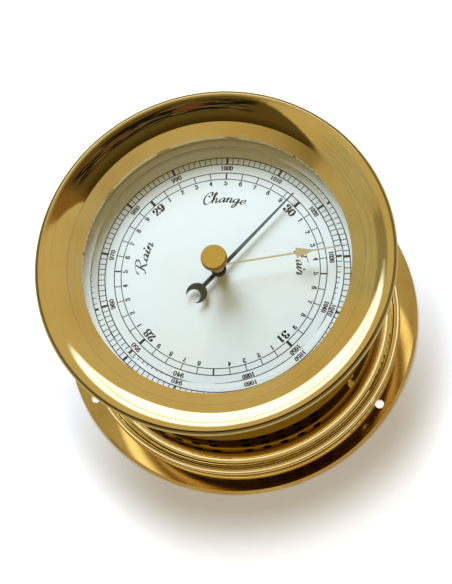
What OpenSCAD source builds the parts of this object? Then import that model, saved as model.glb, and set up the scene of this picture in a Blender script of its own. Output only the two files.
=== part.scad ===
// Ship's barometer with a set hand, lying on its back, in millimetres.
// The origin is the centre of the back face. +Z points out through the dial and +Y to its top.
// A bearing is an angle in degrees, measured clockwise from the top of the dial.

/* [Case] */
// Outside diameter of the mounting flange
flange_d = 215.9; // [212:0.1:230]
// Thickness of the mounting flange
flange_t = 3; // [2.5:0.1:4]
// Width of the bevel round the flange
flange_bevel_w = 1.8; // [1:0.1:2.4]
// Drop of the bevel round the flange
flange_bevel_h = 0.8; // [0.4:0.1:1.2]
// Outside diameter of the case wall
case_d = 178.4; // [176:0.1:181]
// Thickness of the case wall
wall_t = 3; // [2.6:0.1:3.4]
// Height of the dial's face above the back of the flange
dial_h = 92.1; // [90:0.1:110]
// Reduction in radius from the case wall to its neck
neck_step = 1.4; // [1.2:0.1:1.6]
// Length of the neck that stands above the dial's face
neck_rise = 2.9; // [2:0.1:3.2]
// Number of thread ridges on the neck
thread_n = 5; // [3:1:6]
// Distance between thread ridges
thread_pitch = 1.5; // [1.5:0.1:1.8]
// Height of a thread ridge
thread_depth = 0.5; // [0.3:0.05:0.6]

/* [Foot moulding] */
// Height of the moulding above the flange
foot_h = 13.3; // [12.6:0.1:15]
// Radius of the hollow at the top of the moulding
cove_r = 3.8; // [3.4:0.1:4.2]
// Radius of the large roll
roll_r = 2.6; // [2.2:0.1:2.8]
// Height of the large roll's centre above the flange
roll_z = 6.6; // [6.3:0.1:6.9]
// Distance of the large roll's centre from the case wall
roll_out = 5.4; // [5:0.1:5.8]
// Radius of the small bead under the roll
bead_r = 0.9; // [0.7:0.05:1]
// Height of the small bead's centre above the flange
bead_z = 2.2; // [1.8:0.1:2.4]
// Distance from the case wall to the groove behind the bead
groove_out = 6.8; // [6.5:0.1:7]

/* [Vents and side hole] */
// Diameter of a vent hole
vent_d = 5.5; // [4:0.1:6]
// Rows of vent holes
vent_rows = 3; // [1:1:3]
// Columns of vent holes in each of the two groups
vent_cols = 5; // [1:1:7]
// Height of the top row below the dial's face
vent_drop = 38.9; // [38:0.1:42]
// Distance between rows of vent holes
vent_pitch = 10.95; // [8:0.05:11]
// Angle between columns of vent holes
vent_step = 6.9; // [6:0.1:8]
// Angle between the two groups
vent_split = 12.4; // [9:0.1:16]
// Bearing of the middle of the vents
vent_bearing = 177.3; // [170:0.1:190]
// Diameter of the countersunk hole in the side of the case
side_hole_d = 3.4; // [2.5:0.1:4]
// Diameter of its countersink
side_sink_d = 5.6; // [5:0.1:7]
// Height of the side hole below the dial's face
side_hole_drop = 37; // [36:0.1:42]
// Bearing of the side hole
side_hole_bearing = 124; // [110:1:130]

/* [Mounting holes] */
// Distance from the flange's edge to the middle of a mounting hole
mount_inset = 7.65; // [7:0.05:9]
// Diameter of a mounting hole
mount_hole_d = 5.4; // [4:0.1:6]
// Number of mounting holes
mount_n = 3; // [3:1:6]

/* [Bezel] */
// Diameter of the opening in the bezel
opening_d = 154.8; // [152:0.1:158]
// Height of the inner lip above the dial
lip_z = 18.8; // [18:0.1:20]
// Diameter of the crease between face and roll
crease_d = 170.2; // [168:0.1:173]
// Height of the crease above the dial
crease_z = 22.9; // [22.3:0.1:23.4]
// Outside diameter of the bezel
bezel_d = 207; // [204:0.1:210]
// Height of the roll's crest above the dial
crest_z = 26.6; // [26:0.1:28]
// Radius of the bezel's outer edge
edge_r = 2.2; // [1.6:0.1:2.6]
// Radius of the roll across its width
sweep_r = 40; // [36:1:48]
// Radial thickness of the bezel's skirt
skirt_t = 1.4; // [1.1:0.1:1.6]
// Depth of the skirt's lower edge below the dial's face
skirt_drop = 30; // [26:0.1:32]
// Depth of the screw ring below the dial's face
screw_ring_drop = 10; // [8:0.1:12]

/* [Crystal] */
// Height of the glass's back above the dial
glass_z = 13.5; // [13:0.1:13.8]
// Thickness of the glass
glass_t = 4.5; // [4:0.1:4.8]
// Width of the bevel that shows inside the opening
glass_bevel_w = 5.9; // [4:0.1:8]
// Drop of the bevel
glass_bevel_h = 3; // [2:0.1:3.2]
// Width of the glass's rim hidden under the bezel
glass_rim_w = 6.3; // [6:0.1:6.5]
// Thickness of the gasket
gasket_t = 0.6; // [0.4:0.1:0.8]
// Radial thickness of the reflector ring's wall
reflector_t = 1.5; // [1:0.1:2]
// Height of the reflector ring's flange
reflector_flange_h = 4.5; // [3:0.1:6]

/* [Set hand] */
// Diameter of the knob
knob_d = 15; // [13:0.1:17]
// Thickness of the knob
knob_t = 5.3; // [4:0.1:6]
// Number of teeth in the knurl
knurl_n = 60; // [40:1:72]
// Depth of the knurl
knurl_depth = 0.35; // [0.2:0.05:0.5]
// Height of the bush above the glass
bush_rise = 4.6; // [4:0.1:6]
// Diameter of the bush
bush_d = 8; // [7.6:0.1:9]
// Diameter of the spindle
spindle_d = 5; // [4:0.1:5.2]
// Bearing that the set hand points to
set_bearing = 79.8; // [60:0.1:100]
// Length of the set hand from its centre
set_hand_l = 70.2; // [64:0.1:72]
// Distance of the arrowhead's base from the centre
arrow_r = 45.5; // [40:0.1:48]
// Length of the arrowhead
arrow_l = 9.2; // [7:0.1:12]
// Width of the arrowhead
arrow_w = 6.4; // [4:0.1:8]
// Width of the set hand's wire
wire_w = 0.9; // [0.6:0.05:1.2]
// Thickness of the set hand
set_hand_t = 0.4; // [0.3:0.05:0.6]

/* [Pressure hand] */
// Bearing that the pressure hand points to
reading_bearing = 40.3; // [30:0.1:50]
// Length of the pressure hand from its centre
hand_l = 62.5; // [58:0.1:66]
// Width of the hand at its hub
hand_w = 2.6; // [2:0.1:3]
// Width of the hand at its tip
tip_w = 0.8; // [0.5:0.1:1.2]
// Distance from the centre to the crescent on the tail
crescent_at = 18.5; // [16:0.1:22]
// Outside radius of the crescent
crescent_r = 6.1; // [5:0.1:7]
// Radius of the crescent's cut
crescent_cut_r = 4.2; // [3.5:0.1:4.6]
// Distance between the crescent's two centres
crescent_shift = 2.6; // [2.3:0.1:3]
// Thickness of the pressure hand
hand_t = 0.4; // [0.3:0.05:0.6]
// Height of the hand above the dial
hand_z = 4.2; // [4:0.1:4.8]
// Diameter of the black hub
hub_d = 8.8; // [8:0.1:10]
// Height of the black hub above the hand
hub_h = 2.2; // [1.5:0.1:2.6]

/* [Dial and movement] */
// Thickness of the dial
dial_t = 0.8; // [0.5:0.1:1.2]
// Thickness of the plate behind the dial
dial_plate_t = 2; // [1.5:0.1:3]
// Radial clearance round the dial and its plate
dial_gap = 0.6; // [0.3:0.1:0.8]
// Height of the ring that the dial plate rests on
seat_h = 4; // [3:0.1:6]
// Width of the ring that the dial plate rests on
seat_w = 7; // [6:0.1:9]
// Width of the movement's base plate outside its pillars
base_edge = 4; // [3:0.1:6]
// Thickness of the movement's base plate
base_t = 3; // [2.4:0.1:4]
// Length of the pillars between base plate and dial plate
pillar_l = 42; // [41.5:0.1:44]
// Diameter of a pillar
pillar_d = 6; // [5:0.1:6.4]
// Radial distance between the pillars and the capsule
pillar_clear = 7; // [6:0.1:8]
// Diameter of the aneroid capsule
capsule_d = 60; // [54:0.5:62]
// Height of the capsule
capsule_h = 12; // [10:0.1:12.4]
// Wall of the capsule
capsule_t = 0.4; // [0.3:0.05:0.6]
// Number of corrugations on each half of the capsule
waves = 4; // [2:1:5]
// Height of a corrugation
wave_h = 0.9; // [0.5:0.05:1.1]
// Height of the capsule above the base plate
capsule_lift = 2.7; // [2.6:0.1:3]
// Thickness of the main spring's leaf
leaf_t = 1.6; // [1.2:0.1:1.8]
// Width of the main spring's leaf
leaf_w = 14; // [11:0.1:16]
// Height from the base plate to the top of the main spring
spring_h = 21.3; // [21:0.1:22]
// Distance from the centre to the main spring's bend
bend_x = 35; // [34.5:0.1:36]
// Width of the main lever
lever_w = 5; // [4:0.1:6]
// Thickness of the main lever
lever_t = 2; // [1.6:0.1:2.4]
// Distance of the link rod from the centre
link_x = 34; // [33.5:0.1:34.5]
// Length of the crank that the link rod turns
crank_l = 6; // [5.6:0.1:6.4]
// Length of the arm that pulls the chain
chain_arm_l = 18; // [17:0.1:18.5]
// Height of the rocking shaft above the base plate
rocker_z = 14.7; // [14.4:0.1:15]
// Diameter of the rocking shaft
rocker_d = 2.4; // [2:0.1:2.6]
// Radius at which the chain leaves the drum
drum_r = 1.2; // [1.15:0.05:1.3]
// Radius of the chain
chain_r = 0.3; // [0.2:0.05:0.35]
// Diameter of the pointer arbor
arbor_d = 1.2; // [1:0.1:1.4]
// Turns of the hairspring
hair_turns = 4; // [3:1:5]
// Pitch of the hairspring's turns
hair_pitch = 1.4; // [1.2:0.1:1.6]
// Thickness of the hairspring's wire
hair_t = 0.3; // [0.2:0.05:0.4]
// Diameter of the adjusting screw
adjuster_d = 4; // [3:0.1:4.4]
// Diameter of the access hole in the back
access_d = 12; // [10:0.1:14]
// Diameter of the bridge's and main spring's screws
small_screw_d = 2; // [1.6:0.1:2.4]

/* [Fits] */
// Running clearance between a shaft and its bearing
fit = 0.05; // [0.03:0.01:0.08]
// Clearance between parts that move past each other
gap = 0.3; // [0.25:0.05:0.35]
// Gap between the bezel's skirt and the shoulder of the case
seam = 0.5; // [0.4:0.1:0.8]

/* [Hidden] */
$fn = 96;
tiny = 0.01;
// How far a cut runs past the face that it opens
over = 1;
// Pan heads: diameter and height as multiples of the shank's diameter
pan_head = 2;
pan_height = 0.6;
// Screw slots: width and depth as shares of the head's
slot_share = 0.16;
slot_deep = 0.4;
// How much deeper a tapped hole is than its screw
pilot = 1;
flange_r = flange_d / 2;
mount_r = flange_r - mount_inset;
case_r = case_d / 2;
bore_r = case_r - wall_t;
neck_r = case_r - neck_step;
shoulder_z = dial_h - skirt_drop - seam;
neck_top_z = dial_h + neck_rise;
thread_r = neck_r + thread_depth;
base_screw_n = 6;
base_screw_out = 1;
base_screw_r = case_r + cove_r / 2 + base_screw_out;
base_screw_d = 3;
base_screw_l = 7;
base_screw_head_d = 6;
base_screw_head_h = 1.6;

screw_ring_r = thread_r + gap;
screw_ring_t = 1;
skirt_in_r = screw_ring_r + screw_ring_t;
skirt_r = skirt_in_r + skirt_t;
lip_r = opening_d / 2;
crease_r = crease_d / 2;
edge_x = bezel_d / 2 - edge_r;
face_under_z = dial_h + glass_z + glass_t - glass_bevel_h + gasket_t;
seal_t = 1.3;
seal_z = neck_top_z + gap;

glass_flat_r = lip_r - glass_bevel_w;
bevel_hidden = 0.5;
glass_bevel_r = lip_r + bevel_hidden;
rim_play = 0.2;
glass_r = glass_bevel_r + glass_rim_w - rim_play;
glass_low_z = dial_h + glass_z;
glass_rim_z = glass_low_z + glass_t - glass_bevel_h;
glass_top_z = glass_low_z + glass_t;
ring_bore_r = glass_r + gap;
reflector_r = glass_bevel_r;
reflector_gap = 0.7;
reflector_low_z = dial_h + reflector_gap;

barrel_wall = 0.7;
barrel_r = spindle_d / 2 + barrel_wall;
knob_gap = 0.5;
knob_z = glass_top_z + bush_rise + knob_gap;
knob_rim = 0.9;
rim_inset = 0.1;
nut_t = 1;
nut_z = glass_low_z - nut_t;
collet_gap = 0.4;
collet_h = 1.6;
collet_z = nut_z - collet_gap - set_hand_t - collet_h;
set_hand_z = collet_z + collet_h;
end_screw_h = 0.8;
end_screw_d = 2;
end_screw_l = 3;
end_screw_lap = 0.7;
spindle_low_z = collet_z;
socket_h = 3;
set_hub_w = 1.3;

hand_low_z = dial_h + hand_z;
hub_top_z = hand_low_z + hand_t + hub_h;
hand_collet_h = 1.5;
collet_low_z = hand_low_z - hand_collet_h;
hand_boss_w = 0.4;
tail_lap = 1;
tube_r = 2.6;
tube_flange_w = 2;
tube_flange_h = 1.5;
tube_top_z = collet_low_z - gap;

dial_plate_z = dial_h - dial_t;
seat_top_z = dial_plate_z - dial_plate_t;
seat_in_r = bore_r - seat_w;
dial_r = bore_r - dial_gap;
dial_screw_r = bore_r - seat_w / 2;
dial_screw_n = 4;
dial_screw_d = 2;
dial_screw_first = 45;
dial_bite = 2;

base_top_z = seat_top_z - pillar_l;
base_low_z = base_top_z - base_t;
pillar_r = capsule_d / 2 + pillar_clear + pillar_d / 2;
base_r = pillar_r + pillar_d / 2 + base_edge;
pillar_n = 4;
pillar_first = 45;
pillar_screw_d = 2.6;
pillar_screw_head_d = 5;
pillar_screw_head_h = 1.4;
pillar_bite = 4;
pillar_thread_l = 6;
capsule_z = base_top_z + capsule_lift;
capsule_mid_z = capsule_z + capsule_h / 2;
capsule_top_z = capsule_z + capsule_h;
capsule_r = capsule_d / 2;
boss_r = 5;
boss_rise = 1.4;
weld_w = 2;
foot_inset = 0.5;
stud_r = 2.5;
stud_l = 4.5;
nut_h = 3.5;
nut_flats_r = 4.6;

leaf_top_z = base_top_z + spring_h;
bend_r = spring_h / 2;
leaf_end = 16;
foot_leaf = 11;
spring_screw_in = 1;
post_r = 2.2;
post_rise = 3.6;
post_top_z = leaf_top_z + post_rise;
post_pin_out = 2;
pin_r = 0.6;
lever_z = leaf_top_z;
lever_mid_z = lever_z + lever_t / 2;
lever_near = 7;
lever_screw_x = [-9, -13.5];
lever_screw_d = 1.6;
eye_r = 1.6;
link_t = 1.2;
link_half_w = 1;
link_y = lever_w / 2 + gap;
loose_play = 0.6;
loose_r = pin_r + loose_play;
loose_eye_wall = 0.6;
loose_eye_r = loose_r + loose_eye_wall;
rocker_x = -link_x - crank_l;
rocker_axis_z = base_top_z + rocker_z;
rocker_half = 8.9;
arm_t = 1.2;
arm_half_w = 1;
chain_z = rocker_axis_z + chain_arm_l;
bracket_w = 8;
bracket_y = 7.5;
bracket_t = 1.5;
bracket_foot_t = 2;
bracket_rise = 2.5;
chain_end = 2.6;
bridge_t = 2;
bridge_lift = 2.6;
bridge_z = post_top_z + bridge_lift;
bridge_pillar_r = 2.4;
bridge_clear = 0.6;
bridge_pillar_y = capsule_r + bridge_clear + bridge_pillar_r;
bridge_w = 10;
bridge_overhang = 1;
bridge_end = bridge_pillar_y + bridge_pillar_r + bridge_overhang;
bridge_bite = 3;
foot_bush_r = 2.2;
foot_bush_drop = 1.1;
pivot_depth = 0.6;
drum_half_h = 2;
drum_low_z = chain_z - drum_half_h;
drum_high_z = chain_z + drum_half_h;
drum_core_r = drum_r - chain_r - fit;
drum_flange_r = 2.2;
drum_flange_t = 0.6;
hair_lift = 1;
hair_z = drum_high_z + drum_flange_t + hair_lift;
hair_h = 1;
hair_step = 20;
hair_in_r = 2.6;
hair_out_r = hair_in_r + hair_turns * hair_pitch;
hair_stud_r = 0.9;
hair_stud_drop = 0.5;
adjuster_out = 6;
adjuster_x = bend_x + adjuster_out;
adjuster_near = adjuster_x - bend_x - adjuster_d / 2;
adjuster_tip_z = base_top_z + bend_r - sqrt(pow(bend_r, 2) - pow(adjuster_near, 2)) - gap;
adjuster_head_r = 3.5;
adjuster_head_h = 3;
adjuster_gap = 1;
adjuster_head_z = base_low_z - adjuster_gap - adjuster_head_h;
adjuster_slot_w = 1;
adjuster_slot_h = 1.2;

brass = [0.78, 0.62, 0.3];
bright_brass = [0.86, 0.7, 0.36];
steel = [0.6, 0.62, 0.64];
black = [0.1, 0.1, 0.1];
white = [0.93, 0.94, 0.92];
rubber = [0.15, 0.15, 0.15];
glass = [0.8, 0.9, 0.9, 0.35];
copper = [0.8, 0.65, 0.45];

// Shared shapes

// A point at a distance from the axis and a bearing from the top of the dial
module at_bearing(r, bearing) {
    rotate([0, 0, -bearing])
        translate([0, r, 0])
            children();
}

// A plain rod along Z from z0 to z1
module rod(r, z0, z1) {
    translate([0, 0, z0])
        cylinder(r = r, h = z1 - z0);
}

// A plain ring along Z from z0 to z1
module ring(r_out, r_in, z0, z1) {
    difference() {
        rod(r_out, z0, z1);
        rod(r_in, z0 - over, z1 + over);
    }
}

// A rod along Y from y0 to y1
module cross_rod(r, y0, y1) {
    translate([0, y0, 0])
        rotate([-90, 0, 0])
            cylinder(r = r, h = y1 - y0);
}

// A bar between two corners
module bar(low, high) {
    translate(low)
        cube(high - low);
}

// A slotted pan head screw, its head standing on z = 0 and its shank below
module pan_screw(d, l, head_d, head_h) {
    slot = head_d * slot_share / 2;
    difference() {
        rod(head_d / 2, 0, head_h);
        bar([-head_d, -slot, head_h * (1 - slot_deep)], [head_d, slot, head_h + over]);
    }
    rod(d / 2, -l, tiny);
}

// A slotted countersunk screw, its flat top at z = 0 and its shank below
module sunk_screw(d, l, head_d, head_h) {
    slot = head_d * slot_share / 2;
    difference() {
        translate([0, 0, -head_h])
            cylinder(r1 = d / 2, r2 = head_d / 2, h = head_h);
        bar([-head_d, -slot, -head_h * slot_deep], [head_d, slot, over]);
    }
    rod(d / 2, -l, tiny - head_h);
}

// The hole that a countersunk screw drops into, its mouth at z = 0
module sunk_hole(d, l, head_d, head_h) {
    translate([0, 0, -head_h - fit])
        cylinder(r1 = d / 2 + fit, r2 = head_d / 2 + fit, h = head_h + fit);
    rod(head_d / 2 + fit, -tiny, over);
    rod(d / 2 + fit, -l - pilot, -head_h);
}

// Case

module base_screw_places() {
    for (i = [0:base_screw_n - 1])
        at_bearing(base_screw_r, (i + 0.5) * 360 / base_screw_n)
            rotate([180, 0, 0])
                children();
}

module base_plate() {
    color(brass)
        difference() {
            union() {
                rod(flange_r, 0, flange_t - flange_bevel_h);
                translate([0, 0, flange_t - flange_bevel_h])
                    cylinder(r1 = flange_r, r2 = flange_r - flange_bevel_w, h = flange_bevel_h);
            }
            for (i = [0:mount_n - 1])
                at_bearing(mount_r, i * 360 / mount_n)
                    rod(mount_hole_d / 2, -over, flange_t + over);
            base_screw_places()
                sunk_hole(base_screw_d, base_screw_l, base_screw_head_d, base_screw_head_h);
            translate([adjuster_x, 0, 0])
                rod(access_d / 2, -over, flange_t + over);
        }
}

module base_screws() {
    color(steel)
        base_screw_places()
            sunk_screw(base_screw_d, base_screw_l, base_screw_head_d, base_screw_head_h);
}

module foot_profile() {
    difference() {
        translate([case_r, flange_t])
            square([cove_r, foot_h]);
        translate([case_r + cove_r, flange_t + foot_h])
            circle(r = cove_r);
    }
    translate([case_r, flange_t])
        square([roll_out, roll_z + roll_r - gap]);
    translate([case_r, flange_t])
        square([groove_out, roll_z]);
    translate([case_r + roll_out, flange_t + roll_z])
        circle(r = roll_r);
    translate([case_r + groove_out, flange_t + bead_z])
        circle(r = bead_r);
}

module foot_ring() {
    color(brass)
        difference() {
            rotate_extrude()
                foot_profile();
            base_screw_places()
                rod(base_screw_d / 2 + fit, -base_screw_l - pilot, 0);
        }
}

module vent_places() {
    half_split = vent_split / 2;
    for (side = [-1, 1])
        for (i = [0:vent_cols - 1])
            for (j = [0:vent_rows - 1])
                translate([0, 0, dial_h - vent_drop - j * vent_pitch])
                    rotate([0, 0, -vent_bearing - side * (half_split + i * vent_step)])
                        children();
}

module side_hole_place() {
    translate([0, 0, dial_h - side_hole_drop])
        rotate([0, 0, -side_hole_bearing])
            children();
}

module case_shell() {
    sink_depth = (side_sink_d - side_hole_d) / 2;
    color(brass)
        difference() {
            union() {
                ring(case_r, bore_r, flange_t, shoulder_z);
                ring(neck_r, bore_r, shoulder_z - tiny, neck_top_z);
                for (i = [1:thread_n])
                    translate([0, 0, neck_top_z - i * thread_pitch])
                        ring(thread_r, neck_r - tiny, -thread_pitch / 4, thread_pitch / 4);
            }
            vent_places()
                cross_rod(vent_d / 2, bore_r - over, case_r + over);
            side_hole_place()
                cross_rod(side_hole_d / 2, bore_r - over, case_r + over);
            side_hole_place()
                translate([0, case_r - sink_depth, 0])
                    rotate([-90, 0, 0])
                        cylinder(r1 = side_hole_d / 2, r2 = side_sink_d / 2 + over, h = sink_depth + over);
        }
}

module dial_seat_ring() {
    color(brass)
        difference() {
            ring(bore_r, seat_in_r, seat_top_z - seat_h, seat_top_z);
            dial_screw_places()
                rod(dial_screw_d / 2 + fit, seat_top_z - dial_bite - pilot, seat_top_z + over);
        }
}

// Bezel and crystal

module bezel_profile() {
    crest = dial_h + crest_z;
    crease_top = dial_h + crease_z;
    cove = edge_x - skirt_r;
    cove_top = crest - 2 * edge_r;
    roll_low = crest - 2 * sweep_r - over;
    // Flat lip between opening and crease
    polygon([
        [lip_r, face_under_z],
        [crease_r + tiny, face_under_z],
        [crease_r + tiny, crease_top],
        [lip_r, dial_h + lip_z]
    ]);
    // Roll from crease to rim
    difference() {
        translate([edge_x, crest - sweep_r])
            circle(r = sweep_r, $fn = 360);
        translate([edge_x, roll_low])
            square([2 * sweep_r, crest - roll_low + over]);
        translate([edge_x - 2 * sweep_r, roll_low])
            square([crease_r - edge_x + 2 * sweep_r, crest - roll_low + over]);
        translate([edge_x - 2 * sweep_r, roll_low])
            square([4 * sweep_r, face_under_z - roll_low]);
        translate([edge_x, cove_top - cove])
            circle(r = cove);
    }
    translate([edge_x, crest - edge_r])
        circle(r = edge_r);
    // Hollow under the rim
    difference() {
        translate([skirt_in_r, cove_top - cove])
            square([edge_x - skirt_in_r, cove]);
        translate([edge_x, cove_top - cove])
            circle(r = cove);
    }
    // Skirt
    translate([skirt_in_r, dial_h - skirt_drop])
        square([skirt_t, face_under_z - dial_h + skirt_drop + tiny]);
}

module bezel() {
    color(bright_brass)
        rotate_extrude($fn = 180)
            bezel_profile();
}

module bezel_screw_ring() {
    color(brass) {
        ring(skirt_in_r, screw_ring_r, dial_h - screw_ring_drop, seal_z + seal_t + tiny);
        ring(skirt_in_r, ring_bore_r, seal_z + seal_t, face_under_z);
    }
}

module bezel_seal() {
    color(rubber)
        ring(screw_ring_r - gap, bore_r, seal_z, seal_z + seal_t);
}

module crystal() {
    color(glass)
        difference() {
            union() {
                rod(glass_r, glass_low_z, glass_rim_z);
                translate([0, 0, glass_rim_z])
                    cylinder(r1 = glass_bevel_r, r2 = glass_flat_r, h = glass_bevel_h);
            }
            rod(barrel_r + fit, glass_low_z - over, glass_top_z + over);
        }
}

module crystal_gasket() {
    color(rubber)
        ring(glass_r, glass_bevel_r + fit, glass_rim_z, face_under_z);
}

module reflector_ring() {
    color(brass) {
        ring(ring_bore_r - fit, reflector_r, glass_low_z - reflector_flange_h, glass_low_z);
        ring(reflector_r + reflector_t, reflector_r, reflector_low_z, glass_low_z - reflector_flange_h + tiny);
    }
}

module spindle_bush() {
    color(bright_brass)
        difference() {
            union() {
                rod(bush_d / 2, glass_top_z, glass_top_z + bush_rise);
                rod(barrel_r, nut_z, glass_top_z + tiny);
            }
            rod(spindle_d / 2 + fit, nut_z - over, glass_top_z + bush_rise + over);
        }
}

module spindle_bush_nut() {
    color(bright_brass)
        ring(bush_d / 2, barrel_r + fit, nut_z, glass_low_z);
}

// Set hand

module set_knob() {
    knob_r = knob_d / 2;
    knob_top_z = knob_z + knob_t;
    rim_r = knob_r - knurl_depth - rim_inset;
    color(bright_brass)
        difference() {
            union() {
                translate([0, 0, knob_z + knob_rim])
                    linear_extrude(knob_t - 2 * knob_rim)
                        polygon([
                            for (i = [0:2 * knurl_n - 1])
                                let (r = knob_r - (i % 2) * knurl_depth, a = i * 180 / knurl_n)
                                    [r * cos(a), r * sin(a)]
                        ]);
                rod(rim_r, knob_z, knob_z + knob_rim + tiny);
                rod(rim_r, knob_top_z - knob_rim - tiny, knob_top_z);
            }
            rod(spindle_d / 2 + fit, knob_z - over, knob_z + socket_h);
        }
}

module set_spindle() {
    color(bright_brass)
        difference() {
            rod(spindle_d / 2, spindle_low_z, knob_z + socket_h);
            rod(end_screw_d / 2 + fit, spindle_low_z - over, spindle_low_z + end_screw_l + pilot);
        }
}

module set_hand() {
    color(bright_brass)
        rotate([0, 0, -set_bearing])
            translate([0, 0, set_hand_z])
                difference() {
                    union() {
                        cylinder(r = spindle_d / 2 + set_hub_w, h = set_hand_t);
                        linear_extrude(set_hand_t)
                            polygon([
                                [-wire_w / 2, spindle_d / 2],
                                [-wire_w / 2, arrow_r],
                                [-arrow_w / 2, arrow_r],
                                [-wire_w / 2, arrow_r + arrow_l],
                                [-wire_w / 4, set_hand_l],
                                [wire_w / 4, set_hand_l],
                                [wire_w / 2, arrow_r + arrow_l],
                                [arrow_w / 2, arrow_r],
                                [wire_w / 2, arrow_r],
                                [wire_w / 2, spindle_d / 2]
                            ]);
                    }
                    rod(spindle_d / 2 + fit, -over, set_hand_t + over);
                }
}

module set_hand_collet() {
    color(bright_brass)
        ring(bush_d / 2 - gap, spindle_d / 2 + fit, collet_z, set_hand_z);
}

module spindle_end_screw() {
    color(steel)
        translate([0, 0, collet_z])
            rotate([180, 0, 0])
                pan_screw(end_screw_d, end_screw_l, spindle_d + 2 * end_screw_lap, end_screw_h);
}

// Pressure hand and its arbor

module pressure_hand() {
    tail_end = crescent_r - crescent_at - tail_lap;
    color(black)
        rotate([0, 0, -reading_bearing])
            translate([0, 0, hand_low_z])
                difference() {
                    union() {
                        linear_extrude(hand_t)
                            polygon([
                                [-hand_w / 2, 0],
                                [-tip_w / 2, hand_l],
                                [tip_w / 2, hand_l],
                                [hand_w / 2, 0],
                                [hand_w / 2, tail_end],
                                [-hand_w / 2, tail_end]
                            ]);
                        cylinder(r = tube_r + hand_boss_w, h = hand_t);
                        translate([0, -crescent_at, 0])
                            cylinder(r = crescent_r, h = hand_t);
                    }
                    translate([0, -crescent_at - crescent_shift, 0])
                        rod(crescent_cut_r, -over, hand_t + over);
                    rod(arbor_d / 2 + fit, -over, hand_t + over);
                }
}

module hand_hub() {
    color(black)
        ring(hub_d / 2, arbor_d / 2 + fit, hand_low_z + hand_t, hub_top_z);
}

module hand_collet() {
    color(black)
        ring(tube_r, arbor_d / 2 + fit, collet_low_z, hand_low_z);
}

module pointer_arbor() {
    color(steel)
        rod(arbor_d / 2, bridge_z - pivot_depth, hub_top_z);
}

module chain_drum() {
    color(brass)
        difference() {
            union() {
                rod(drum_core_r, drum_low_z - drum_flange_t, drum_high_z + drum_flange_t);
                rod(drum_flange_r, drum_low_z - drum_flange_t, drum_low_z);
                rod(drum_flange_r, drum_high_z, drum_high_z + drum_flange_t);
            }
            rod(arbor_d / 2, drum_low_z - over, drum_high_z + over);
        }
}

module hairspring_collet() {
    color(brass)
        ring(hair_in_r - hair_t, arbor_d / 2, hair_z, hair_z + hair_h);
}

function spiral(t, off) = [
    (hair_in_r + off + hair_pitch * t / 360) * cos(t),
    (hair_in_r + off + hair_pitch * t / 360) * sin(t)
];

module hairspring() {
    last = hair_turns * 360;
    inner = [for (t = [0:hair_step:last]) spiral(t, -hair_t / 2)];
    outer = [for (t = [last:-hair_step:0]) spiral(t, hair_t / 2)];
    color(copper)
        translate([0, 0, hair_z])
            linear_extrude(hair_h)
                polygon(concat(inner, outer));
}

module hairspring_stud() {
    color(brass)
        translate([hair_out_r + hair_t / 2 + hair_stud_r, 0, 0])
            rod(hair_stud_r, hair_z - hair_stud_drop, seat_top_z);
}

module centre_tube() {
    color(bright_brass)
        difference() {
            union() {
                rod(tube_r, seat_top_z - tube_flange_h, tube_top_z);
                rod(tube_r + tube_flange_w, seat_top_z - tube_flange_h, seat_top_z);
            }
            rod(arbor_d / 2 + fit, seat_top_z - tube_flange_h - over, tube_top_z + over);
        }
}

module arbor_foot_bush() {
    color(brass)
        difference() {
            rod(foot_bush_r, bridge_z - foot_bush_drop, bridge_z + bridge_t);
            rod(arbor_d / 2 + fit, bridge_z - pivot_depth, bridge_z + bridge_t + over);
        }
}

// Dial

module dial_screw_places() {
    for (i = [0:dial_screw_n - 1])
        at_bearing(dial_screw_r, dial_screw_first + i * 360 / dial_screw_n)
            children();
}

module dial() {
    color(white)
        difference() {
            ring(dial_r, tube_r + fit, dial_plate_z, dial_h);
            dial_screw_places()
                rod(dial_screw_d / 2 + fit, dial_plate_z - over, dial_h + over);
        }
}

module dial_plate() {
    color(brass)
        difference() {
            ring(dial_r, tube_r + fit, seat_top_z, dial_plate_z);
            dial_screw_places()
                rod(dial_screw_d / 2 + fit, seat_top_z - over, dial_plate_z + over);
            pillar_places()
                translate([0, 0, dial_plate_z])
                    sunk_hole(pillar_screw_d, dial_plate_t + over, pillar_screw_head_d, pillar_screw_head_h);
        }
}

module dial_screws() {
    color(steel)
        dial_screw_places()
            translate([0, 0, dial_h])
                pan_screw(dial_screw_d, dial_t + dial_plate_t + dial_bite, dial_screw_d * pan_head, dial_screw_d * pan_height);
}

// Movement frame

module pillar_places() {
    for (i = [0:pillar_n - 1])
        at_bearing(pillar_r, pillar_first + i * 360 / pillar_n)
            children();
}

module base_hole(r) {
    rod(r + fit, base_low_z - over, base_top_z + over);
}

module movement_base() {
    color(brass)
        difference() {
            rod(base_r, base_low_z, base_top_z);
            pillar_places()
                base_hole(pillar_screw_d / 2);
            bridge_pillar_places()
                base_hole(base_screw_d / 2);
            base_hole(stud_r);
            translate([adjuster_x, 0, 0])
                base_hole(adjuster_d / 2);
            spring_screw_places()
                base_hole(small_screw_d / 2);
        }
}

module pillars() {
    color(brass)
        pillar_places()
            difference() {
                rod(pillar_d / 2, base_top_z, seat_top_z);
                rod(pillar_screw_d / 2 + fit, base_top_z - over, base_top_z + pillar_thread_l);
                rod(pillar_screw_d / 2 + fit, seat_top_z - pillar_thread_l, seat_top_z + over);
            }
}

module upper_pillar_screws() {
    color(steel)
        pillar_places()
            translate([0, 0, dial_plate_z])
                sunk_screw(pillar_screw_d, dial_plate_t + pillar_bite, pillar_screw_head_d, pillar_screw_head_h);
}

module lower_pillar_screws() {
    color(steel)
        pillar_places()
            translate([0, 0, base_low_z])
                rotate([180, 0, 0])
                    pan_screw(pillar_screw_d, base_t + pillar_bite, pillar_screw_head_d, pillar_screw_head_h);
}

module bridge_pillar_places() {
    for (y = [-bridge_pillar_y, bridge_pillar_y])
        translate([0, y, 0])
            children();
}

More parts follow.
